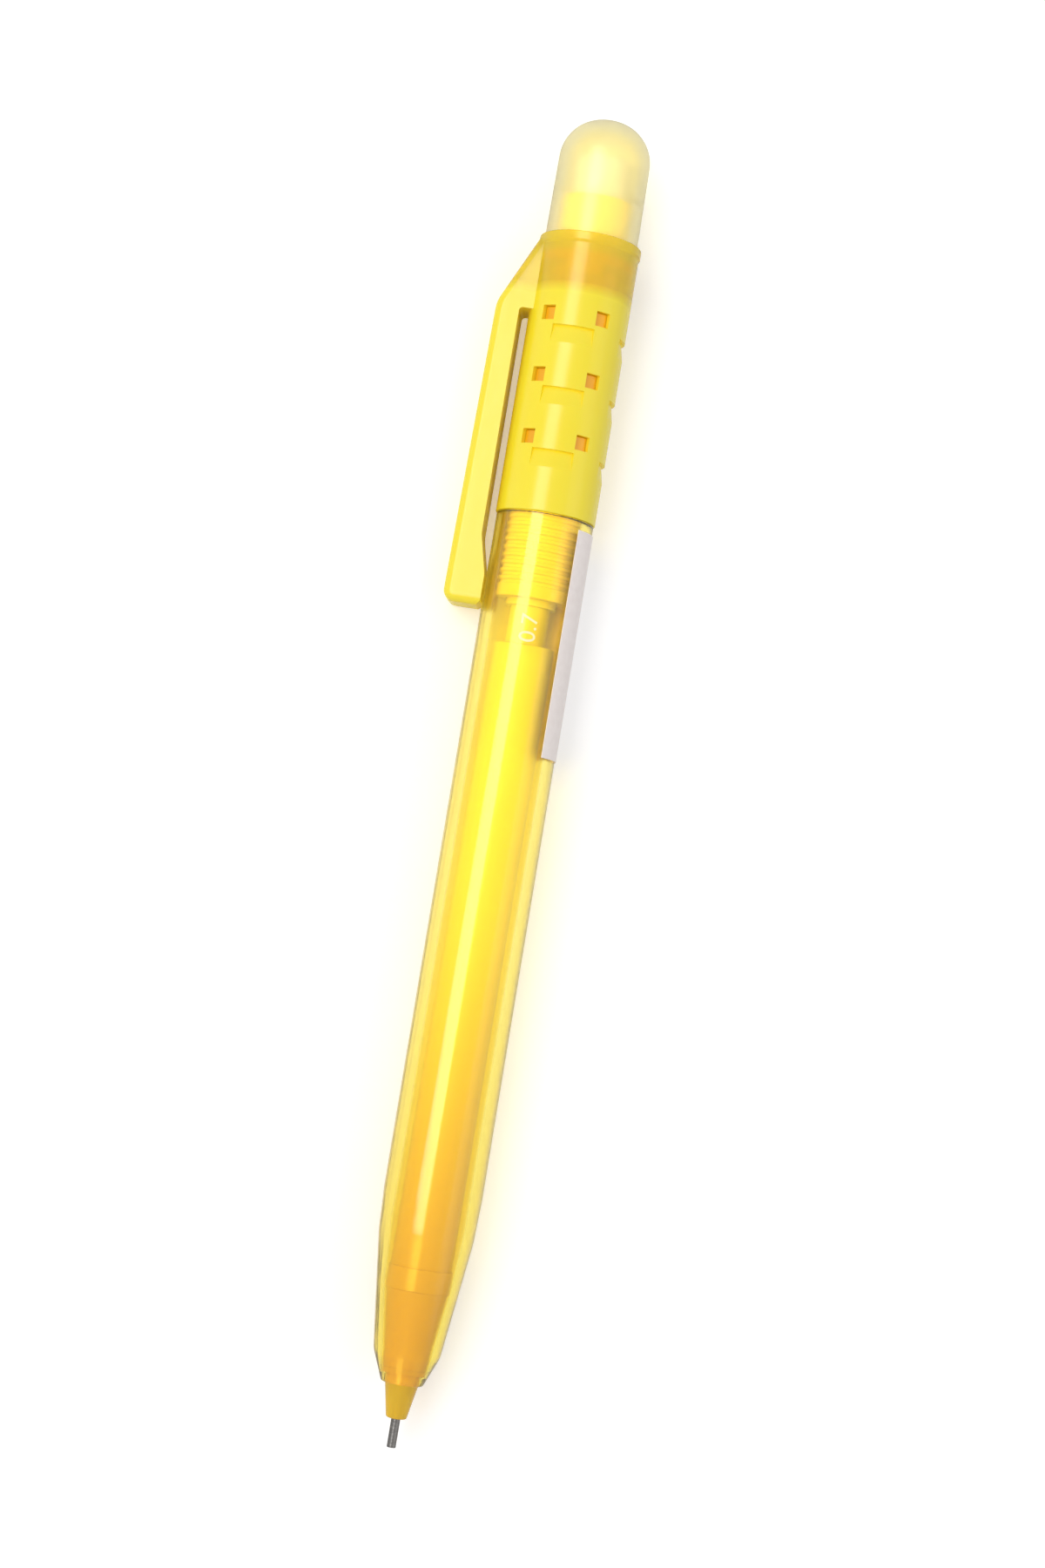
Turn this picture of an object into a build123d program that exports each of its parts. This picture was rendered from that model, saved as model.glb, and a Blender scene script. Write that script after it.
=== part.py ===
# Push-button mechanical pencil for 0.7 mm leads, lying on its side as it rests on a table.
# The pencil's axis is X: the mouth of the lead pipe is at the origin and the cap is towards +X.
# It rests on its sleeve and on the edge of its pocket clip, which leans down towards +Y.
# Lengths along the pencil are measured from the mouth of the lead pipe, in millimetres.

from build123d import *
from math import asin, atan, cos, degrees, hypot, radians, sin
import os

os.makedirs("parts", exist_ok=True)

# ---- driving sizes ----
overall_length = 145.0
barrel_radius = 5.3
sleeve_radius = 5.45
sleeve_length = 30.7
lead_radius = 0.35
push_stroke = 3.5
ring_travel = 1.5

# clearances
running_gap = 0.05
slide_gap = 0.10
seat_gap = 0.03
lead_gap = 0.03

# lead pipe and nose cone
pipe_wall = 0.11
pipe_showing = 3.1
pipe_length = 5.6
cone_front_radius = 1.1
cone_mouth_radius = 1.82
cone_length = 3.75
mouth_wall = 0.35
cone_collar_width = 0.6
cone_collar_step = 0.46
spigot_length = 3.6
spigot_wall = 0.11
retainer_radius = 1.1
retainer_length = 3.0

# barrel
nose_radius = 3.6
nose_round = 2.2
nose_round_length = 3.2
taper_length = 12.5
taper_rear_radius = 5.12
blend_length = 4.5
barrel_wall = 1.25
seat_depth = 1.15
bore_step = 0.1
bore_step_from_rear = 14.0

# clutch
chuck_head_radius = 1.5
chuck_head_length = 1.3
chuck_cone_length = 1.9
chuck_stem_radius = 1.15
chuck_tail_length = 14.1
jaw_slot = 0.25
jaw_slot_length = 7.0
ring_wall = 0.35
housing_wall = 0.35
housing_length = 77.8
housing_radius = 3.3
housing_belt_radius = 3.45
housing_belt_start = 8.2
housing_belt_width = 2.5
spring_shoulder = 1.0
spring_length = 9.9
spring_wire = 0.2
spring_turns = 8
spring_room = 0.35

# lead tube and spare leads
tube_radius = 2.75
tube_wall = 0.6
tube_front_radius = 2.2
tube_front_length = 64.0
tube_plug_length = 3.0
lead_length = 60.0
lead_recess = 0.3
spare_lead_count = 3
spare_lead_turn = 38.0
spare_from_front = 40.0

# clip sleeve
plug_length = 9.2
plug_rib_pitch = 0.85
plug_rib_depth = 0.22
plug_ring_width = 1.4
chamber_wall = 0.32
chamber_depth = 7.1
lip_height = 0.15
lip_width = 0.9
holder_bore_depth = 10.3

# pocket clip
clip_width = 5.0
clip_root_reach = 9.0
clip_tip_reach = 9.5
clip_inner_reach = 6.35
clip_length = 41.3
clip_shoulder_length = 7.7
clip_web_length = 8.5
clip_top_drop = 0.4
clip_bump_length = 7.7
clip_bump_flat = 3.4
clip_edge_round = 0.9
clip_end_round = 1.3
clip_wave_round = 1.0

# grip notches on the sleeve: sloping ledges on three sides, with two square pits above each on two of them
notch_pitch = 6.8
notch_count = 3
pit_size = 1.6
pit_depth = 1.0
pit_angle = 33.0
pit_from_rim = 9.1
ledge_angle = 49.4
ledge_depth = 0.42
ledge_length = 2.0
ledge_from_pit = 1.25

# eraser, its holder and the cap
holder_radius = 3.9
holder_length = 17.9
holder_rise = 4.6
flange_drop = 1.9
flange_thickness = 1.2
key_width = 4.3
key_drop = 1.4
key_reach = 4.8
eraser_radius = 3.15
eraser_length = 9.0
eraser_showing = 4.7
cap_taper = 0.12
cap_crown_round = 4.5
cap_wall = 0.9

# price label
label_length = 24.8
label_start = 74.7
label_angle = 160.0
label_from_face = 48.5
label_thickness = 0.1

# ---- places worked out from the sizes ----
mouth = pipe_showing + cone_length
seat = mouth + seat_depth
collar_rear = seat + seat_gap + cone_collar_width
spigot_rear = collar_rear + spigot_length
taper_start = mouth + nose_round_length
taper_end = taper_start + taper_length
barrel_start = taper_end + blend_length
sleeve_cap_end = overall_length - 13.7
sleeve_start = sleeve_cap_end - sleeve_length
barrel_rear = sleeve_start - seat_gap
bore_radius = barrel_radius - barrel_wall
plug_radius = bore_radius - slide_gap

pipe_radius = lead_radius + lead_gap + pipe_wall
pipe_hole = lead_radius + lead_gap
cone_bore = retainer_radius + running_gap
spigot_radius = cone_mouth_radius + spigot_wall - slide_gap
cone_hollow = chuck_head_radius + slide_gap
collar_radius = cone_mouth_radius + cone_collar_step

ring_front = spigot_rear + ring_travel + slide_gap
ring_rear = ring_front + chuck_cone_length
shoulder_start = ring_rear + seat_gap
shoulder_end = shoulder_start + spring_shoulder
ring_radius = chuck_head_radius + running_gap + ring_wall
chuck_front = ring_front - chuck_head_length
chuck_rear = ring_rear + chuck_tail_length
spring_rear = shoulder_end + spring_length
tube_front = spring_rear + seat_gap
housing_front = collar_rear + seat_gap
housing_rear = housing_front + housing_length
tube_shoulder = tube_front + tube_front_length
housing_bore = tube_front_radius + slide_gap

flange_top = sleeve_cap_end - flange_drop
flange_bottom = flange_top - flange_thickness
holder_rear = sleeve_cap_end + holder_rise
holder_front = holder_rear - holder_length
chamber_radius = sleeve_radius - chamber_wall
chamber_floor = sleeve_cap_end - chamber_depth
flange_radius = chamber_radius - slide_gap
cap_radius = chamber_radius - running_gap
cap_top_radius = cap_radius - cap_taper
holder_bore_floor = chamber_floor - holder_bore_depth
holder_bore = holder_radius + slide_gap
tube_bore = tube_radius + slide_gap
key_angle = degrees(key_width / key_reach)
key_angle_gap = degrees(slide_gap / key_reach)
eraser_top = holder_rear + eraser_showing
eraser_bottom = eraser_top - eraser_length
tube_rear = eraser_bottom - slide_gap

# the pencil rolls until the clip's outer edge reaches the table beside the sleeve
clip_corner = hypot(clip_tip_reach, clip_width / 2)
clip_roll = degrees(asin(sleeve_radius / clip_corner)) - degrees(atan(clip_width / 2 / clip_tip_reach))
clip_side = (0, cos(radians(clip_roll)), -sin(radians(clip_roll)))
face_side = (0, sin(radians(clip_roll)), cos(radians(clip_roll)))
clip_plane = Plane(origin=(0, 0, 0), x_dir=(1, 0, 0), z_dir=face_side)
# the axis along the pencil about which turned parts are made
pencil_axis = Axis.X


def around(angle):
    """Plane that holds the pencil's axis, its second direction turned from the clip by the angle."""
    return clip_plane.rotated((angle, 0, 0))


def turn(points, mode=Mode.ADD):
    """Turns a closed outline of (along, radius) points, each with an optional corner round."""
    with BuildSketch() as section:
        with BuildLine():
            Polyline(*[(point[0], point[1]) for point in points], close=True)
        make_face()
        for point in points:
            if len(point) == 3:
                corner = section.vertices().sort_by_distance((point[0], point[1], 0))[0]
                fillet(corner, radius=point[2])
    revolve(section.sketch, axis=pencil_axis, mode=mode)


def finish_piece(piece, name):
    """Labels a piece and writes it to its own file."""
    piece.part.label = name
    export_step(piece.part, "parts/" + name + ".step")


# ---- lead pipe: the steel tube that guides the lead ----
with BuildPart() as lead_pipe:
    turn([(0, pipe_hole), (0, pipe_radius, 0.04), (pipe_length, pipe_radius), (pipe_length, pipe_hole)])
finish_piece(lead_pipe, "lead_pipe")

# ---- nose cone: held by its collar behind the barrel's mouth ----
with BuildPart() as nose_cone:
    turn([
        (pipe_showing, pipe_radius + lead_gap),
        (pipe_showing, cone_front_radius, 0.25),
        (mouth, cone_mouth_radius),
        (seat + seat_gap, cone_mouth_radius),
        (seat + seat_gap, collar_radius),
        (collar_rear, collar_radius),
        (collar_rear, spigot_radius),
        (spigot_rear, spigot_radius),
        (spigot_rear, cone_hollow),
        (collar_rear, cone_hollow),
        (collar_rear, cone_bore),
        (pipe_length + seat_gap, cone_bore),
        (pipe_length + seat_gap, pipe_radius + lead_gap),
    ])
finish_piece(nose_cone, "nose_cone")

# ---- lead retainer: a rubber bush that keeps the lead from sliding back ----
with BuildPart() as lead_retainer:
    turn([
        (pipe_length + 2 * seat_gap, pipe_hole),
        (pipe_length + 2 * seat_gap, retainer_radius, 0.1),
        (pipe_length + retainer_length, retainer_radius, 0.1),
        (pipe_length + retainer_length, pipe_hole, 0.2),
    ])
finish_piece(lead_retainer, "lead_retainer")

# ---- barrel: one clear moulding from the mouth to the clip sleeve ----
with BuildPart() as barrel:
    turn([
        (mouth, cone_mouth_radius + slide_gap),
        (mouth, cone_mouth_radius + slide_gap + mouth_wall, 0.15),
        (taper_start, nose_radius, nose_round),
        (taper_end, taper_rear_radius, 12.0),
        (barrel_start, barrel_radius, 20.0),
        (barrel_rear, barrel_radius, 0.1),
        (barrel_rear, bore_radius, 0.2),
        (barrel_rear - bore_step_from_rear, bore_radius),
        (barrel_rear - bore_step_from_rear, bore_radius - bore_step),
        (taper_end + 1.0, bore_radius - bore_step, 8.0),
        (housing_front + housing_belt_start, housing_belt_radius + slide_gap),
        (seat, collar_radius + slide_gap),
        (seat, cone_mouth_radius + slide_gap),
    ])
finish_piece(barrel, "barrel")

# ---- chuck housing: screwed to the nose cone, it holds the ring, chuck and spring ----
with BuildPart() as chuck_housing:
    belt_front = housing_front + housing_belt_start
    turn([
        (housing_front, spigot_radius + running_gap),
        (housing_front, collar_radius),
        (belt_front, housing_radius),
        (belt_front, housing_belt_radius, 0.1),
        (belt_front + housing_belt_width, housing_belt_radius, 0.1),
        (belt_front + housing_belt_width, housing_radius),
        (housing_rear, housing_radius, 0.15),
        (housing_rear, housing_bore),
        (shoulder_end, housing_bore),
        (shoulder_end, chuck_stem_radius + slide_gap),
        (shoulder_start, chuck_stem_radius + slide_gap),
        (shoulder_start, ring_radius + running_gap),
        (spigot_rear + seat_gap, ring_radius + running_gap),
        (spigot_rear + seat_gap, spigot_radius + running_gap),
    ])
finish_piece(chuck_housing, "chuck_housing")

# ---- chuck ring: closes the jaws while it sits against the housing's shoulder ----
with BuildPart() as chuck_ring:
    turn([
        (ring_front, chuck_head_radius + running_gap),
        (ring_front, ring_radius, 0.1),
        (ring_rear, ring_radius, 0.1),
        (ring_rear, chuck_stem_radius + running_gap),
    ])
finish_piece(chuck_ring, "chuck_ring")

# ---- chuck: a three-jaw collet on a long stem ----
with BuildPart() as chuck:
    turn([
        (chuck_front, pipe_hole),
        (chuck_front, chuck_head_radius, 0.2),
        (ring_front, chuck_head_radius),
        (ring_rear, chuck_stem_radius),
        (chuck_rear, chuck_stem_radius),
        (chuck_rear, pipe_hole),
    ])
    for jaw in range(3):
        with BuildSketch(around(120 * jaw)):
            with Locations((chuck_front, 0)):
                Rectangle(jaw_slot_length, chuck_head_radius + 1, align=(Align.MIN, Align.MIN))
        extrude(amount=jaw_slot / 2, both=True, mode=Mode.SUBTRACT)
finish_piece(chuck, "chuck")

# ---- return spring: pushes the lead tube and the chuck back ----
coil_radius = chuck_stem_radius + spring_room + spring_wire
coil_length = spring_length - 2 * spring_wire - 2 * seat_gap
with BuildPart() as return_spring:
    coil_start = (shoulder_end + spring_wire + seat_gap, 0, 0)
    with BuildLine():
        coil = Helix(coil_length / spring_turns, coil_length, coil_radius, center=coil_start, direction=(1, 0, 0))
    with BuildSketch(Plane(origin=coil @ 0, z_dir=coil % 0)):
        Circle(spring_wire)
    sweep(path=coil)
finish_piece(return_spring, "return_spring")

# ---- lead tube: carries the spare leads and joins the chuck to the push button ----
with BuildPart() as lead_tube:
    turn([
        (tube_front, chuck_stem_radius + seat_gap),
        (tube_front, tube_front_radius, 0.1),
        (tube_shoulder, tube_front_radius),
        (tube_shoulder, tube_radius, 0.15),
        (tube_rear, tube_radius, 0.1),
        (tube_rear, tube_radius - tube_wall),
        (tube_shoulder, tube_radius - tube_wall),
        (tube_shoulder - 1.0, tube_front_radius - tube_wall),
        (tube_front + tube_plug_length, tube_front_radius - tube_wall),
        (tube_front + tube_plug_length, chuck_stem_radius + seat_gap),
    ])
finish_piece(lead_tube, "lead_tube")

# ---- leads ----
with BuildPart() as lead:
    turn([
        (lead_recess, 0),
        (lead_recess, lead_radius, 0.05),
        (lead_recess + lead_length, lead_radius),
        (lead_recess + lead_length, 0),
    ])
finish_piece(lead, "lead")

spare_front = tube_front + spare_from_front
spare_offset = tube_front_radius - tube_wall - lead_radius - slide_gap
with BuildPart() as spare_leads:
    with BuildSketch(Plane(origin=(spare_front, 0, 0), x_dir=(0, 1, 0), z_dir=(1, 0, 0))):
        for spare in range(spare_lead_count):
            side = radians(-90 + spare_lead_turn * (spare - 1))
            with Locations((spare_offset * cos(side), spare_offset * sin(side))):
                Circle(lead_radius)
    extrude(amount=lead_length)
finish_piece(spare_leads, "spare_leads")

# ---- clip sleeve: sleeve, pocket clip and ribbed plug in one moulding ----
clip_start = sleeve_cap_end - clip_length
clip_web_end = sleeve_cap_end - clip_web_length
with BuildPart() as clip_sleeve:
    with BuildSketch(clip_plane) as clip_outline:
        with BuildLine():
            Polyline(
                (sleeve_cap_end - clip_top_drop, holder_bore),
                (sleeve_cap_end - clip_top_drop, sleeve_radius - 0.1),
                (sleeve_cap_end - clip_top_drop - clip_shoulder_length, clip_root_reach),
                (clip_start, clip_tip_reach),
                (clip_start, barrel_radius + 0.5),
                (clip_start + 0.5, barrel_radius + seat_gap),
                (clip_start + clip_bump_flat, barrel_radius + seat_gap),
                (clip_start + clip_bump_length, clip_inner_reach),
                (clip_web_end, clip_inner_reach),
                (clip_web_end, holder_bore),
                close=True,
            )
        make_face()
        rounds = [
            ((sleeve_cap_end - clip_top_drop - clip_shoulder_length, clip_root_reach), clip_wave_round * 4),
            ((clip_start, clip_tip_reach), clip_end_round),
            ((clip_start + clip_bump_length, clip_inner_reach), clip_wave_round * 4),
            ((clip_start + clip_bump_flat, barrel_radius + seat_gap), clip_wave_round * 2),
            ((clip_web_end, clip_inner_reach), clip_wave_round * 0.4),
        ]
        for corner, corner_round in rounds:
            place = clip_outline.vertices().sort_by_distance((corner[0], corner[1], 0))[0]
            fillet(place, radius=corner_round)
    extrude(amount=clip_width / 2, both=True)
    outer_faces = clip_sleeve.faces().filter_by(
        lambda face: (face.center() - Vector(0, 0, 0)).dot(Vector(clip_side)) > (sleeve_radius + clip_root_reach) / 2
        and abs(face.normal_at().dot(Vector(face_side))) < 0.5
    )
    long_edges = outer_faces.edges().filter_by(
        lambda edge: abs(abs((edge @ 0.5).dot(Vector(face_side))) - clip_width / 2) < 0.01
        and (edge @ 0.5).dot(Vector(clip_side)) > clip_inner_reach
    )
    fillet(long_edges, radius=clip_edge_round)
    rib_start = sleeve_start - plug_length + plug_ring_width
    rib_count = int((plug_length - plug_ring_width) / plug_rib_pitch)
    ribs = []
    for rib in range(rib_count):
        along = rib_start + rib * plug_rib_pitch
        ribs.append((along, plug_radius - plug_rib_depth))
        ribs.append((along + plug_rib_pitch * 0.35, plug_radius - plug_rib_depth))
        ribs.append((along + plug_rib_pitch * 0.5, plug_radius))
        ribs.append((along + plug_rib_pitch * 0.85, plug_radius))
    turn([
        (sleeve_start - plug_length, tube_bore),
        (sleeve_start - plug_length, plug_radius, 0.15),
        (rib_start - 0.1, plug_radius),
        *ribs,
        (sleeve_start, plug_radius - plug_rib_depth),
        (sleeve_start, sleeve_radius, 0.12),
        (sleeve_cap_end - lip_width - 0.3, sleeve_radius),
        (sleeve_cap_end - lip_width, sleeve_radius + lip_height),
        (sleeve_cap_end, sleeve_radius + lip_height, 0.12),
        (sleeve_cap_end, tube_bore),
    ])
    turn([
        (holder_bore_floor, 0),
        (holder_bore_floor, holder_bore),
        (chamber_floor, holder_bore),
        (chamber_floor, chamber_radius),
        (sleeve_cap_end + 1, chamber_radius),
        (sleeve_cap_end + 1, 0),
    ], mode=Mode.SUBTRACT)
    key_room = flange_bottom - key_drop - push_stroke - 2 * slide_gap
    with BuildSketch(around(90 - key_angle / 2 - key_angle_gap)):
        with BuildLine():
            Polyline(
                (key_room, holder_radius - 0.5),
                (chamber_floor + 0.1, holder_radius - 0.5),
                (chamber_floor + 0.1, key_reach + running_gap),
                (key_room, key_reach + running_gap),
                close=True,
            )
        make_face()
    revolve(axis=pencil_axis, revolution_arc=key_angle + 2 * key_angle_gap, mode=Mode.SUBTRACT)
    for face_turn in (90, 180, 270):
        pit_sides = () if face_turn == 180 else (-pit_angle, pit_angle)
        for row in range(notch_count):
            pit_place = sleeve_cap_end - pit_from_rim - row * notch_pitch
            for pit_side in pit_sides:
                with BuildSketch(around(face_turn + pit_side)):
                    with Locations((pit_place, sleeve_radius - pit_depth)):
                        Rectangle(pit_size, 2 * pit_depth, align=(Align.CENTER, Align.MIN))
                extrude(amount=pit_size / 2, both=True, mode=Mode.SUBTRACT)
            ledge_top = pit_place - ledge_from_pit
            with BuildSketch(around(face_turn - ledge_angle / 2)):
                with BuildLine():
                    Polyline(
                        (ledge_top, sleeve_radius - ledge_depth),
                        (ledge_top, sleeve_radius + 0.5),
                        (ledge_top - ledge_length, sleeve_radius + 0.5),
                        (ledge_top - ledge_length, sleeve_radius + 0.01),
                        close=True,
                    )
                make_face()
            revolve(axis=pencil_axis, revolution_arc=ledge_angle, mode=Mode.SUBTRACT)
finish_piece(clip_sleeve, "clip_sleeve")

# ---- eraser holder: the push button's core, keyed in the sleeve's upper chamber ----
with BuildPart() as eraser_holder:
    turn([
        (holder_front, tube_radius + running_gap),
        (holder_front, holder_radius, 0.2),
        (flange_bottom, holder_radius),
        (flange_bottom, flange_radius, 0.1),
        (flange_top, flange_radius, 0.1),
        (flange_top, holder_radius),
        (holder_rear, holder_radius, 0.2),
        (holder_rear, eraser_radius + running_gap, 0.15),
        (eraser_bottom - seat_gap, eraser_radius + running_gap),
        (eraser_bottom - seat_gap, tube_radius + running_gap),
    ])
    with BuildSketch(around(90 - key_angle / 2)):
        with BuildLine():
            Polyline(
                (flange_bottom - key_drop, holder_radius - 0.3),
                (flange_bottom + 0.2, holder_radius - 0.3),
                (flange_bottom + 0.2, key_reach),
                (flange_bottom - key_drop, key_reach),
                close=True,
            )
        make_face()
    revolve(axis=pencil_axis, revolution_arc=key_angle)
finish_piece(eraser_holder, "eraser_holder")

# ---- eraser ----
with BuildPart() as eraser:
    turn([
        (eraser_bottom, 0),
        (eraser_bottom, eraser_radius, 0.2),
        (eraser_top, eraser_radius, 0.5),
        (eraser_top, 0),
    ])
finish_piece(eraser, "eraser")

# ---- push cap: a clear dome whose skirt sits on the holder's flange ----
with BuildPart() as push_cap:
    cap_bottom = flange_top + seat_gap
    turn([
        (cap_bottom, holder_radius + slide_gap),
        (cap_bottom, cap_radius, 0.15),
        (sleeve_cap_end, cap_radius),
        (overall_length, cap_top_radius, cap_crown_round),
        (overall_length, 0),
        (overall_length - cap_wall, 0),
        (overall_length - cap_wall, cap_top_radius - cap_wall, cap_crown_round - cap_wall),
        (holder_rear + 0.6, cap_radius - cap_wall),
        (holder_rear, holder_radius + slide_gap),
    ])
finish_piece(push_cap, "push_cap")

# ---- price label: paper wrapped part of the way round the barrel ----
with BuildPart() as price_label:
    with BuildSketch(around(90 + label_from_face)):
        with Locations((label_start, barrel_radius + seat_gap)):
            Rectangle(label_length, label_thickness, align=(Align.MIN, Align.MIN))
    revolve(axis=pencil_axis, revolution_arc=label_angle)
finish_piece(price_label, "price_label")

print("clip roll %.3f degrees, pieces written" % clip_roll)
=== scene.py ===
import bpy, bmesh
from math import cos, sin, radians
from mathutils import Matrix, Vector


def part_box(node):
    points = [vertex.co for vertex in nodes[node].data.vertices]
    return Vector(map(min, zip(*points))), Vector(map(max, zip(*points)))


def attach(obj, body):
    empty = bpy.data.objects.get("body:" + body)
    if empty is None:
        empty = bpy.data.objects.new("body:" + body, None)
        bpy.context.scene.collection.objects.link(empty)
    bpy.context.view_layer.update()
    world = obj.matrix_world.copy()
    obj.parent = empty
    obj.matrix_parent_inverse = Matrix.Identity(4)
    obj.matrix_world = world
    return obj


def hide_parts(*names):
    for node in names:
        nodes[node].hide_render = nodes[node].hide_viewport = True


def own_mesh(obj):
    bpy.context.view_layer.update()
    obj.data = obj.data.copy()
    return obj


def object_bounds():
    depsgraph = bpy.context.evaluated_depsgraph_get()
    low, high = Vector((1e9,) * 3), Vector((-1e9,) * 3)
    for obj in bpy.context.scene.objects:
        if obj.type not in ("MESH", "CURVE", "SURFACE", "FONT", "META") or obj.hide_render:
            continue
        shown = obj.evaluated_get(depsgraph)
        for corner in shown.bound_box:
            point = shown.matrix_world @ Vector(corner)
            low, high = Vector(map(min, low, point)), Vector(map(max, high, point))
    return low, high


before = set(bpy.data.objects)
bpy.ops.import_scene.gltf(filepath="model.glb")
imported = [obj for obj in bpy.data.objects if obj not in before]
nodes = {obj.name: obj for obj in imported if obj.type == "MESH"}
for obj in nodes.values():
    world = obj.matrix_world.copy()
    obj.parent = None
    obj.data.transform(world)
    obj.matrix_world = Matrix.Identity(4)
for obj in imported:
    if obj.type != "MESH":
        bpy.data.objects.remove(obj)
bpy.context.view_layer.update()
print("frame loaded:", len(nodes), "nodes")

mm = 0.001
roll = dict(clip=18.953)  # degrees the clip leans below level, as the pencil rests
clipSide = Vector((0, cos(radians(roll["clip"])), -sin(radians(roll["clip"]))))  # from the axis to the clip
faceSide = Vector((0, sin(radians(roll["clip"])), cos(radians(roll["clip"]))))  # a quarter turn up from it


def linear(colour):
    # the linear values that a shader takes for a colour as it is seen
    return [c / 12.92 if c <= 0.04045 else ((c + 0.055) / 1.055) ** 2.4 for c in colour] + [1.0]


def newMaterial(name):
    material = bpy.data.materials.new(name)
    material.use_nodes = True
    tree = material.node_tree
    return material, tree, tree.nodes["Principled BSDF"]


def noiseAt(tree, scale, detail, stretch=(1, 1, 1)):
    place = tree.nodes.new("ShaderNodeTexCoord")
    mapping = tree.nodes.new("ShaderNodeMapping")
    mapping.inputs["Scale"].default_value = stretch
    noise = tree.nodes.new("ShaderNodeTexNoise")
    noise.inputs["Scale"].default_value = scale
    noise.inputs["Detail"].default_value = detail
    tree.links.new(place.outputs["Object"], mapping.inputs["Vector"])
    tree.links.new(mapping.outputs["Vector"], noise.inputs["Vector"])
    return noise


def colourFrom(tree, noise, bsdf, first, second, low=0.3, high=0.7):
    ramp = tree.nodes.new("ShaderNodeValToRGB")
    ramp.color_ramp.elements[0].position = low
    ramp.color_ramp.elements[0].color = linear(first)
    ramp.color_ramp.elements[1].position = high
    ramp.color_ramp.elements[1].color = linear(second)
    tree.links.new(noise.outputs["Fac"], ramp.inputs["Fac"])
    tree.links.new(ramp.outputs["Color"], bsdf.inputs["Base Color"])


def bumpFrom(tree, noise, bsdf, strength, distance):
    bump = tree.nodes.new("ShaderNodeBump")
    bump.inputs["Strength"].default_value = strength
    bump.inputs["Distance"].default_value = distance
    tree.links.new(noise.outputs["Fac"], bump.inputs["Height"])
    tree.links.new(bump.outputs["Normal"], bsdf.inputs["Normal"])


def roughFrom(tree, noise, bsdf, low, high):
    spread = tree.nodes.new("ShaderNodeMapRange")
    spread.inputs["To Min"].default_value = low
    spread.inputs["To Max"].default_value = high
    tree.links.new(noise.outputs["Fac"], spread.inputs["Value"])
    tree.links.new(spread.outputs["Result"], bsdf.inputs["Roughness"])


def passLamps(tree, bsdf, shadowTint, amount):
    # lets part of each lamp's light through, in the resin's own tint
    clear = tree.nodes.new("ShaderNodeBsdfTransparent")
    clear.inputs["Color"].default_value = linear(shadowTint)
    path = tree.nodes.new("ShaderNodeLightPath")
    share = tree.nodes.new("ShaderNodeMath")
    share.operation = "MULTIPLY"
    share.inputs[1].default_value = amount
    mix = tree.nodes.new("ShaderNodeMixShader")
    tree.links.new(path.outputs["Is Shadow Ray"], share.inputs[0])
    tree.links.new(share.outputs["Value"], mix.inputs["Fac"])
    tree.links.new(bsdf.outputs["BSDF"], mix.inputs[1])
    tree.links.new(clear.outputs["BSDF"], mix.inputs[2])
    tree.links.new(mix.outputs["Shader"], tree.nodes["Material Output"].inputs["Surface"])


def handlingMarks(tree, scale):
    # the fine marks of use, drawn out along the pencil
    return noiseAt(tree, scale, detail=4.0, stretch=(0.3, 1, 1))


clearResin = dict(index=1.49, flowDetail=2.0, flowDepth=0.08 * mm, handling=900)


def clearPlastic(name, tint, tintTwo, transmission, shadowTint, rough=(0.05, 0.13),
                 ripple=0.15, flowScale=220, flowStretch=0.25):
    # moulded clear resin: faint flow ripples, finger-dulled gloss, and lamps let through in its own tint
    material, tree, bsdf = newMaterial(name)
    flow = noiseAt(tree, flowScale, clearResin["flowDetail"], (flowStretch, 1, 1))
    colourFrom(tree, flow, bsdf, tint, tintTwo)
    bsdf.inputs["Transmission Weight"].default_value = transmission
    bsdf.inputs["IOR"].default_value = clearResin["index"]
    roughFrom(tree, handlingMarks(tree, clearResin["handling"]), bsdf, rough[0], rough[1])
    bumpFrom(tree, flow, bsdf, ripple, clearResin["flowDepth"])
    passLamps(tree, bsdf, shadowTint, 1.0)
    return material


milkyResin = dict(
    flowScale=260, flowDetail=3.0, flowStretch=(0.4, 1, 1), flowDepth=0.06 * mm, ripple=0.12,
    handling=1100, rough=(0.16, 0.3), scatterColour=(1.0, 0.7, 0.12), scatterDepth=0.6 * mm,
)


def milkyPlastic(name, tint, tintTwo, scatter, passing=0.0):
    # translucent resin that glows a little where it is thin
    material, tree, bsdf = newMaterial(name)
    flow = noiseAt(tree, milkyResin["flowScale"], milkyResin["flowDetail"], milkyResin["flowStretch"])
    colourFrom(tree, flow, bsdf, tint, tintTwo)
    bsdf.inputs["Subsurface Weight"].default_value = scatter
    bsdf.inputs["Subsurface Radius"].default_value = milkyResin["scatterColour"]
    bsdf.inputs["Subsurface Scale"].default_value = milkyResin["scatterDepth"]
    roughFrom(tree, handlingMarks(tree, milkyResin["handling"]), bsdf, *milkyResin["rough"])
    bumpFrom(tree, flow, bsdf, milkyResin["ripple"], milkyResin["flowDepth"])
    if passing:
        passLamps(tree, bsdf, tint, passing)
    return material


drawMarks = dict(scale=2500, detail=3.0, stretch=(8, 0.6, 0.6), strength=0.2, depth=0.02 * mm)


def drawnMetal(name, tint, tintTwo, rough):
    # metal with fine draw marks round the piece
    material, tree, bsdf = newMaterial(name)
    marks = noiseAt(tree, drawMarks["scale"], drawMarks["detail"], drawMarks["stretch"])
    colourFrom(tree, marks, bsdf, tint, tintTwo)
    bsdf.inputs["Metallic"].default_value = 1.0
    roughFrom(tree, marks, bsdf, rough[0], rough[1])
    bumpFrom(tree, marks, bsdf, drawMarks["strength"], drawMarks["depth"])
    return material


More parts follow.
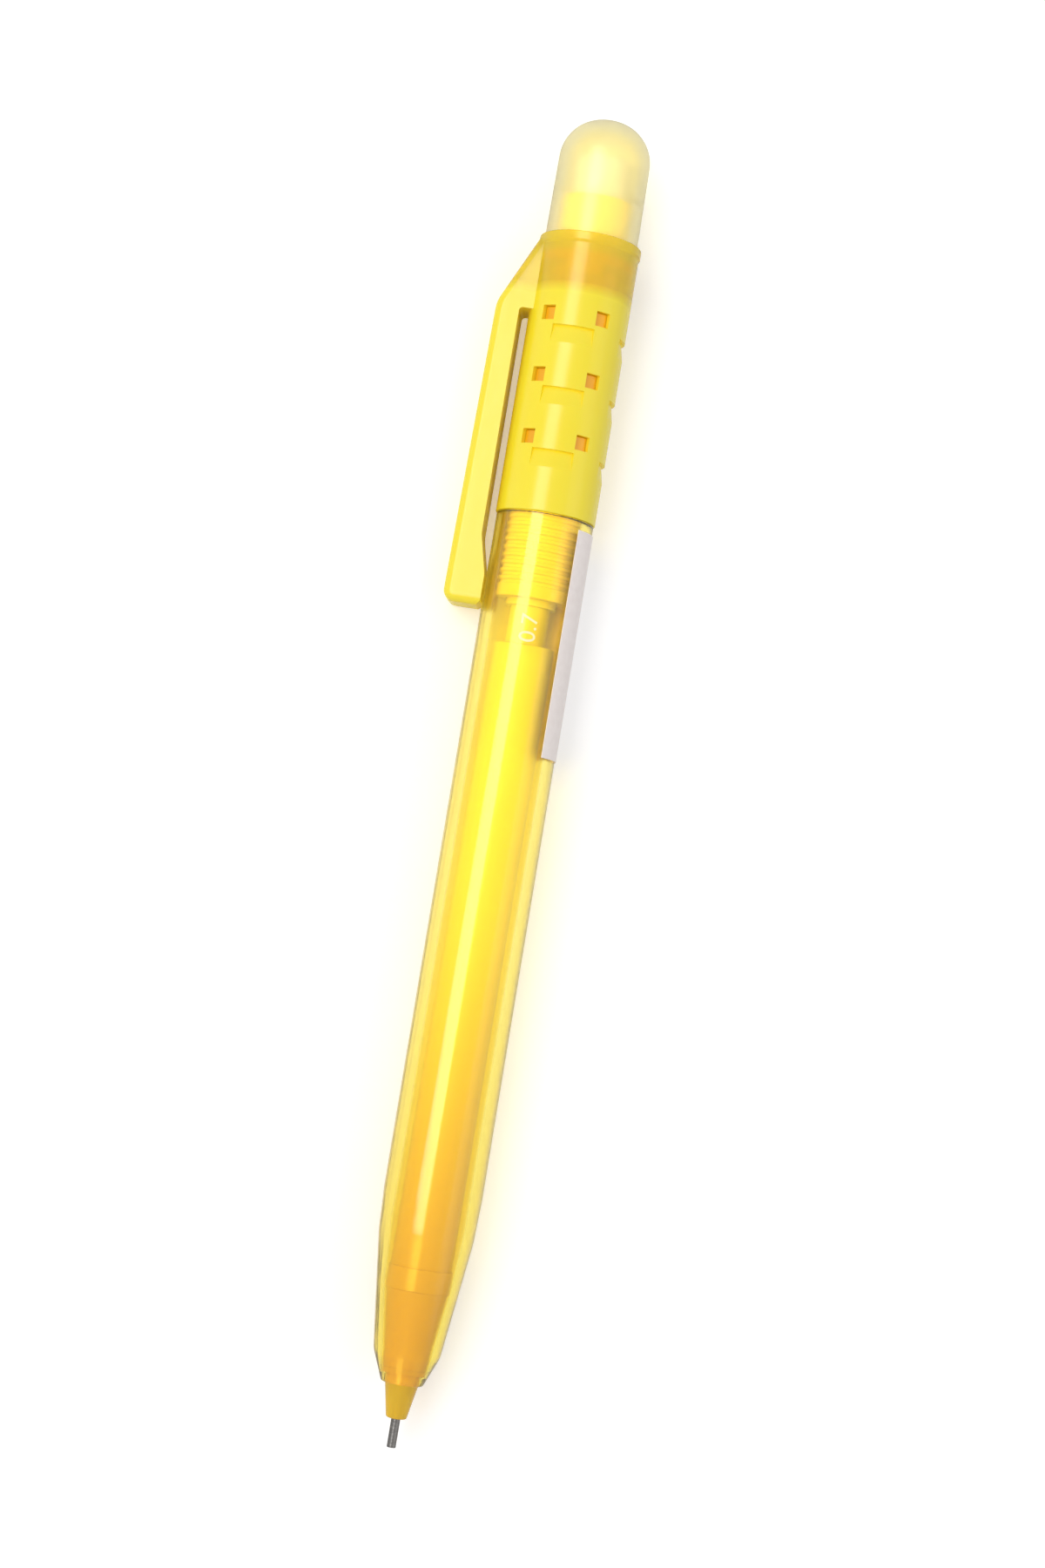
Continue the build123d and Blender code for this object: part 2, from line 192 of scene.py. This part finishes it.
def mattePiece(name, tint, tintTwo, scale, rough, grain, depth=0.05 * mm):
    # paper, rubber, vinyl, graphite or ink: uneven colour and a fine grain
    material, tree, bsdf = newMaterial(name)
    spots = noiseAt(tree, scale, detail=5.0)
    colourFrom(tree, spots, bsdf, tint, tintTwo)
    roughFrom(tree, spots, bsdf, rough[0], rough[1])
    bumpFrom(tree, spots, bsdf, grain, depth)
    return material


finishes = {
    "barrel": clearPlastic(
        "clearYellow", (1.0, 0.942, 0.52), (1.0, 0.925, 0.43), transmission=0.95,
        shadowTint=(1.0, 0.975, 0.72), rough=(0.07, 0.15), ripple=0.3, flowScale=480, flowStretch=0.03,
    ),
    "push_cap": clearPlastic(
        "clearPale", (1.0, 0.97, 0.80), (1.0, 0.965, 0.77), transmission=0.9,
        shadowTint=(1.0, 0.98, 0.88), rough=(0.26, 0.36),
    ),
    "nose_cone": clearPlastic(
        "amberCone", (0.95, 0.79, 0.09), (0.92, 0.75, 0.06), transmission=0.35,
        shadowTint=(0.98, 0.88, 0.45),
    ),
    "clip_sleeve": milkyPlastic(
        "brightYellow", (1.0, 0.915, 0.22), (1.0, 0.905, 0.18), scatter=0.15, passing=0.6,
    ),
    "eraser_holder": milkyPlastic(
        "paleHolder", (1.0, 0.93, 0.48), (1.0, 0.92, 0.42), scatter=0.15, passing=0.5,
    ),
    "lead_tube": milkyPlastic(
        "tubeYellow", (1.0, 0.955, 0.55), (1.0, 0.945, 0.50), scatter=0.15, passing=0.5,
    ),
    # the housing's amber towards the nose end is painted shade, added below with shadeAlong
    "chuck_housing": milkyPlastic(
        "housingShadedAmber", (0.985, 0.94, 0.44), (0.975, 0.93, 0.40), scatter=0.15, passing=0.5,
    ),
    "chuck": milkyPlastic("chuckAmber", (0.84, 0.58, 0.10), (0.78, 0.52, 0.08), scatter=0.1),
    "chuck_ring": drawnMetal("ringBrass", (0.80, 0.64, 0.30), (0.70, 0.54, 0.22), rough=(0.2, 0.35)),
    "return_spring": drawnMetal("springSteel", (0.66, 0.66, 0.64), (0.54, 0.54, 0.53), rough=(0.25, 0.4)),
    "lead_pipe": drawnMetal("pipeSteel", (0.50, 0.49, 0.48), (0.36, 0.35, 0.34), rough=(0.22, 0.38)),
    "lead_retainer": mattePiece(
        "retainerRubber", (0.13, 0.13, 0.13), (0.09, 0.09, 0.09), scale=1500, rough=(0.7, 0.9), grain=0.2,
    ),
    "eraser": mattePiece(
        "whiteVinyl", (0.97, 0.96, 0.93), (0.93, 0.92, 0.88), scale=700, rough=(0.55, 0.75), grain=0.25,
    ),
    "lead": mattePiece(
        "graphite", (0.16, 0.16, 0.17), (0.10, 0.10, 0.11), scale=3000, rough=(0.3, 0.5), grain=0.15,
        depth=0.01 * mm,
    ),
    "price_label": mattePiece(
        "labelPaper", (1.0, 0.965, 0.95), (0.98, 0.94, 0.925), scale=1200, rough=(0.6, 0.8), grain=0.2,
    ),
}
finishes["spare_leads"] = finishes["lead"]


def alongPencil(tree, start, end):
    # runs from 0 at start to 1 at end, along the pencil's axis
    place = tree.nodes.new("ShaderNodeTexCoord")
    split = tree.nodes.new("ShaderNodeSeparateXYZ")
    spread = tree.nodes.new("ShaderNodeMapRange")
    spread.inputs["From Min"].default_value = start
    spread.inputs["From Max"].default_value = end
    tree.links.new(place.outputs["Object"], split.inputs["Vector"])
    tree.links.new(split.outputs["X"], spread.inputs["Value"])
    return spread


def shadeAlong(material, start, end, darkTint):
    # a darker colour up to start, and the material's own colour again from end; on the nose end this
    # darkening is painted shade
    tree = material.node_tree
    bsdf = tree.nodes["Principled BSDF"]
    ramp = bsdf.inputs["Base Color"].links[0].from_socket
    spread = alongPencil(tree, start, end)
    spread.interpolation_type = "SMOOTHSTEP"
    blend = tree.nodes.new("ShaderNodeMix")
    blend.data_type = "RGBA"
    blend.inputs["A"].default_value = linear(darkTint)
    tree.links.new(spread.outputs["Result"], blend.inputs["Factor"])
    tree.links.new(ramp, blend.inputs["B"])
    tree.links.new(blend.outputs["Result"], bsdf.inputs["Base Color"])


def clearAbove(material, start, end, most):
    # the thin upper wall of the sleeve lets the ring inside it show
    tree = material.node_tree
    spread = alongPencil(tree, start, end)
    spread.inputs["To Max"].default_value = most
    tree.links.new(spread.outputs["Result"], tree.nodes["Principled BSDF"].inputs["Transmission Weight"])


# painted shade: the barrel and the housing behind it are coloured darker towards the nose end, where less
# light falls
paintedNoseShade = dict(
    start=4 * mm, housingEnd=75 * mm, housingShadeTint=(0.83, 0.665, 0.04),
    barrelEnd=60 * mm, barrelShadeTint=(0.965, 0.875, 0.36),
)
shadeAlong(finishes["chuck_housing"], paintedNoseShade["start"], paintedNoseShade["housingEnd"], paintedNoseShade["housingShadeTint"])
shadeAlong(finishes["barrel"], paintedNoseShade["start"], paintedNoseShade["barrelEnd"], paintedNoseShade["barrelShadeTint"])

# the holder is amber up to its flange, where the cap's skirt sits
flange = dict(edge=0.3 * mm, tint=(0.97, 0.66, 0.04))
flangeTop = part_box("push_cap")[0][0]
shadeAlong(finishes["eraser_holder"], flangeTop, flangeTop + flange["edge"], flange["tint"])

# the sleeve's wall clears just above the floor of its chamber
chamber = dict(deep=7.1 * mm, clearFrom=0.4 * mm, clearTo=1.6 * mm, most=0.6)
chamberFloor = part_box("clip_sleeve")[1][0] - chamber["deep"]
clearAbove(
    finishes["clip_sleeve"], chamberFloor + chamber["clearFrom"], chamberFloor + chamber["clearTo"],
    chamber["most"],
)

for name, material in finishes.items():
    for materialSlot in nodes[name].material_slots:
        materialSlot.material = material
print("finishes:", len(finishes))


def makePiece(name, shape, material):
    mesh = bpy.data.meshes.new(name)
    shape.to_mesh(mesh)
    shape.free()
    mesh.materials.append(material)
    piece = bpy.data.objects.new(name, mesh)
    bpy.context.collection.objects.link(piece)
    return piece


# the printed lead size, wrapped on the barrel beside the clip's end
sizePrint = dict(
    words="0.7", along=88.0 * mm, turn=96.8, height=2.55 * mm, lift=0.012 * mm, thick=0.008 * mm,
    cuts=3, merge=0.0001 * mm,
)


def makeSizePrint():
    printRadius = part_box("barrel")[1][2] + sizePrint["lift"]
    curve = bpy.data.curves.new("sizePrintText", "FONT")
    curve.body = sizePrint["words"]
    curve.size = sizePrint["height"]
    curve.align_x = "CENTER"
    curve.align_y = "CENTER"
    words = bpy.data.objects.new("sizePrintText", curve)
    bpy.context.collection.objects.link(words)
    bpy.context.view_layer.update()
    flat = bpy.data.meshes.new_from_object(words.evaluated_get(bpy.context.evaluated_depsgraph_get()))
    bpy.data.objects.remove(words)
    shape = bmesh.new()
    shape.from_mesh(flat)
    bpy.data.meshes.remove(flat)
    bmesh.ops.remove_doubles(shape, verts=shape.verts, dist=sizePrint["merge"])
    bmesh.ops.triangulate(shape, faces=shape.faces)
    bmesh.ops.subdivide_edges(shape, edges=shape.edges, cuts=sizePrint["cuts"], use_grid_fill=True)
    for vert in shape.verts:
        along = sizePrint["along"] + vert.co.x
        turn = radians(sizePrint["turn"]) - vert.co.y / printRadius
        vert.co = Vector((along, 0, 0)) + (clipSide * cos(turn) + faceSide * sin(turn)) * printRadius
    bmesh.ops.solidify(shape, geom=shape.faces, thickness=sizePrint["thick"])
    bmesh.ops.recalc_face_normals(shape, faces=shape.faces)
    ink = mattePiece(
        "whiteInk", (1.0, 0.975, 0.78), (0.98, 0.95, 0.74), scale=4000, rough=(0.4, 0.55), grain=0.1,
        depth=0.005 * mm,
    )
    piece = makePiece("sizePrint", shape, ink)
    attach(piece, "barrel")


makeSizePrint()
print("size print made")

# darker amber slabs set as the floors of the square pits in the sleeve, painted shade for the shadowed
# pits; the face that they are sunk below is taken to lie outFromCap beyond the cap's side
pit = dict(
    pitch=6.8 * mm, fromRim=9.1 * mm, rows=3, angle=33.0, sides=(90, 270), outFromCap=0.45 * mm,
    size=1.52 * mm, deep=0.97 * mm, thick=0.3 * mm, edge=0.08 * mm, edgeSteps=2,
)


def makePitShadeFloors():
    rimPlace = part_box("clip_sleeve")[1][0]
    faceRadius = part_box("push_cap")[1][1] + pit["outFromCap"]
    shape = bmesh.new()
    for side in pit["sides"]:
        for row in range(pit["rows"]):
            for lean in (-pit["angle"], pit["angle"]):
                turn = radians(side + lean)
                out = clipSide * cos(turn) + faceSide * sin(turn)
                across = faceSide * cos(turn) - clipSide * sin(turn)
                centre = Vector((rimPlace - pit["fromRim"] - row * pit["pitch"], 0, 0))
                centre += out * (faceRadius - pit["deep"] + pit["thick"] / 2)
                turned = Matrix((Vector((1, 0, 0)), across, out)).transposed().to_4x4()
                scaled = Matrix.Diagonal((pit["size"], pit["size"], pit["thick"], 1))
                placed = Matrix.Translation(centre) @ turned @ scaled
                made = bmesh.ops.create_cube(shape, size=1, matrix=placed)
                # each edge once, always in the same order
                edges = dict.fromkeys(edge for vert in made["verts"] for edge in vert.link_edges)
                bmesh.ops.bevel(
                    shape, geom=list(edges), offset=pit["edge"], segments=pit["edgeSteps"], profile=0.5,
                    affect="EDGES", material=-1,
                )
    bmesh.ops.recalc_face_normals(shape, faces=shape.faces)
    # painted shade: a darker amber on the pit floors, where shade falls inside the pits
    amber = milkyPlastic("pitShadeAmber", (0.98, 0.72, 0.07), (0.94, 0.68, 0.05), scatter=0.05)
    piece = makePiece("pitShadeFloors", shape, amber)
    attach(piece, "barrel")


makePitShadeFloors()
print("pit floors made")

# the return spring, which in the pencil closes up as the button is pushed; here it is wound as a fixed coil
spring = dict(wire=0.2 * mm, turns=8, sides=10, stepsPerTurn=30, closed=0.63)


def makeSpring():
    low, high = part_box("return_spring")
    front = low[0] + spring["wire"]
    length = high[0] - low[0] - 2 * spring["wire"]
    coilRadius = high[1] - spring["wire"]
    steps = spring["turns"] * spring["stepsPerTurn"]
    shape = bmesh.new()
    bmesh.ops.create_circle(
        shape, segments=spring["sides"], radius=spring["wire"],
        matrix=Matrix.Translation((front, coilRadius, 0)),
    )
    bmesh.ops.spin(
        shape, geom=shape.verts[:] + shape.edges[:], cent=(0, 0, 0), axis=(1, 0, 0),
        dvec=(length / steps, 0, 0), angle=radians(360 * spring["turns"]), steps=steps,
        use_merge=False, use_duplicate=False,
    )
    rims = [edge for edge in shape.edges if edge.is_boundary]
    bmesh.ops.holes_fill(shape, edges=rims, sides=spring["sides"])
    bmesh.ops.recalc_face_normals(shape, faces=shape.faces)
    for face in shape.faces:
        face.smooth = len(face.verts) == 4  # all but the two flat ends
    piece = makePiece("springCoil", shape, finishes["return_spring"])
    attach(piece, "barrel")
    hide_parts("return_spring")
    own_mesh(piece)


makeSpring()
print("spring made")

# the floor, the lamps and the camera
stage = dict(size=3.0, middle=70 * mm, colour=(0.97, 0.97, 0.97), rough=0.9, glow=0.3)


def makeFloor():
    shape = bmesh.new()
    bmesh.ops.create_grid(shape, x_segments=2, y_segments=2, size=stage["size"] / 2)
    bmesh.ops.translate(shape, verts=shape.verts, vec=(stage["middle"], 0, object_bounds()[0][2]))
    material, tree, bsdf = newMaterial("floorPale")
    bsdf.inputs["Base Color"].default_value = linear(stage["colour"])
    bsdf.inputs["Roughness"].default_value = stage["rough"]
    glow = tree.nodes.new("ShaderNodeEmission")
    path = tree.nodes.new("ShaderNodeLightPath")
    seen = tree.nodes.new("ShaderNodeMath")
    seen.operation = "MAXIMUM"
    strength = tree.nodes.new("ShaderNodeMath")
    strength.operation = "MULTIPLY"
    strength.inputs[1].default_value = stage["glow"]
    add = tree.nodes.new("ShaderNodeAddShader")
    tree.links.new(path.outputs["Is Camera Ray"], seen.inputs[0])
    tree.links.new(path.outputs["Is Transmission Ray"], seen.inputs[1])
    tree.links.new(seen.outputs["Value"], strength.inputs[0])
    tree.links.new(strength.outputs["Value"], glow.inputs["Strength"])
    tree.links.new(bsdf.outputs["BSDF"], add.inputs[0])
    tree.links.new(glow.outputs["Emission"], add.inputs[1])
    tree.links.new(add.outputs["Shader"], tree.nodes["Material Output"].inputs["Surface"])
    makePiece("floor", shape, material)


lamps = dict(
    keyLamp=dict(place=(0.12, 0.30, 0.42), size=(0.4, 0.25), watts=1.3),
    fillLamp=dict(place=(0.05, -0.35, 0.35), size=(0.4, 0.3), watts=0.25),
)


def makeLamp(name, place, size, watts):
    data = bpy.data.lights.new(name, "AREA")
    data.shape = "RECTANGLE"
    data.size, data.size_y = size
    data.energy = watts
    lamp = bpy.data.objects.new(name, data)
    bpy.context.collection.objects.link(lamp)
    lamp.location = place
    aim = Vector((stage["middle"], 0, 0)) - Vector(place)
    lamp.rotation_euler = aim.to_track_quat("-Z", "Y").to_euler()


sky = dict(onObject=0.5, seen=1.0)


def makeWorld():
    world = bpy.data.worlds.new("studio")
    bpy.context.scene.world = world
    world.use_nodes = True
    tree = world.node_tree
    back = tree.nodes["Background"]
    path = tree.nodes.new("ShaderNodeLightPath")
    first = tree.nodes.new("ShaderNodeMath")
    first.operation = "MAXIMUM"
    second = tree.nodes.new("ShaderNodeMath")
    second.operation = "MAXIMUM"
    level = tree.nodes.new("ShaderNodeMapRange")
    level.inputs["To Min"].default_value = sky["onObject"]
    level.inputs["To Max"].default_value = sky["seen"]
    tree.links.new(path.outputs["Is Camera Ray"], first.inputs[0])
    tree.links.new(path.outputs["Is Glossy Ray"], first.inputs[1])
    tree.links.new(first.outputs["Value"], second.inputs[0])
    tree.links.new(path.outputs["Is Transmission Ray"], second.inputs[1])
    tree.links.new(second.outputs["Value"], level.inputs["Value"])
    tree.links.new(level.outputs["Result"], back.inputs["Strength"])
    back.inputs["Color"].default_value = (1, 1, 1, 1)


# the camera stands over the grip end and looks a little towards the cap
shot = dict(
    foot=51.6 * mm, distance=300.9 * mm, aimAlong=71.85 * mm, aimAside=2.26 * mm, turn=4.5, lean=9.41,
    lens=42.813333, sensor=24, nearest=10 * mm,
)


def makeCamera():
    turn = radians(shot["turn"])
    outward = faceSide * cos(turn) - clipSide * sin(turn)
    aside = -(clipSide * cos(turn) + faceSide * sin(turn))
    place = Vector((shot["foot"], 0, 0)) + outward * shot["distance"]
    target = Vector((shot["aimAlong"], 0, 0)) + aside * shot["aimAside"]
    forward = (target - place).normalized()
    alongAxis = Vector((1, 0, 0))
    upright = (alongAxis - forward * alongAxis.dot(forward)).normalized()
    lean = radians(shot["lean"])
    up = upright * cos(lean) - forward.cross(upright) * sin(lean)
    right = forward.cross(up)
    data = bpy.data.cameras.new("camera")
    data.sensor_fit = "VERTICAL"
    data.sensor_height = shot["sensor"]
    data.lens = shot["lens"]
    data.clip_start = shot["nearest"]
    camera = bpy.data.objects.new("camera", data)
    bpy.context.collection.objects.link(camera)
    turnTo = Matrix((right, up, -forward)).transposed()
    camera.matrix_world = Matrix.Translation(place) @ turnTo.to_4x4()
    bpy.context.scene.camera = camera


makeFloor()
makeWorld()
for name, settings in lamps.items():
    makeLamp(name, **settings)
makeCamera()
bpy.context.scene.view_settings.view_transform = "Standard"
print("stage, lamps and camera set")
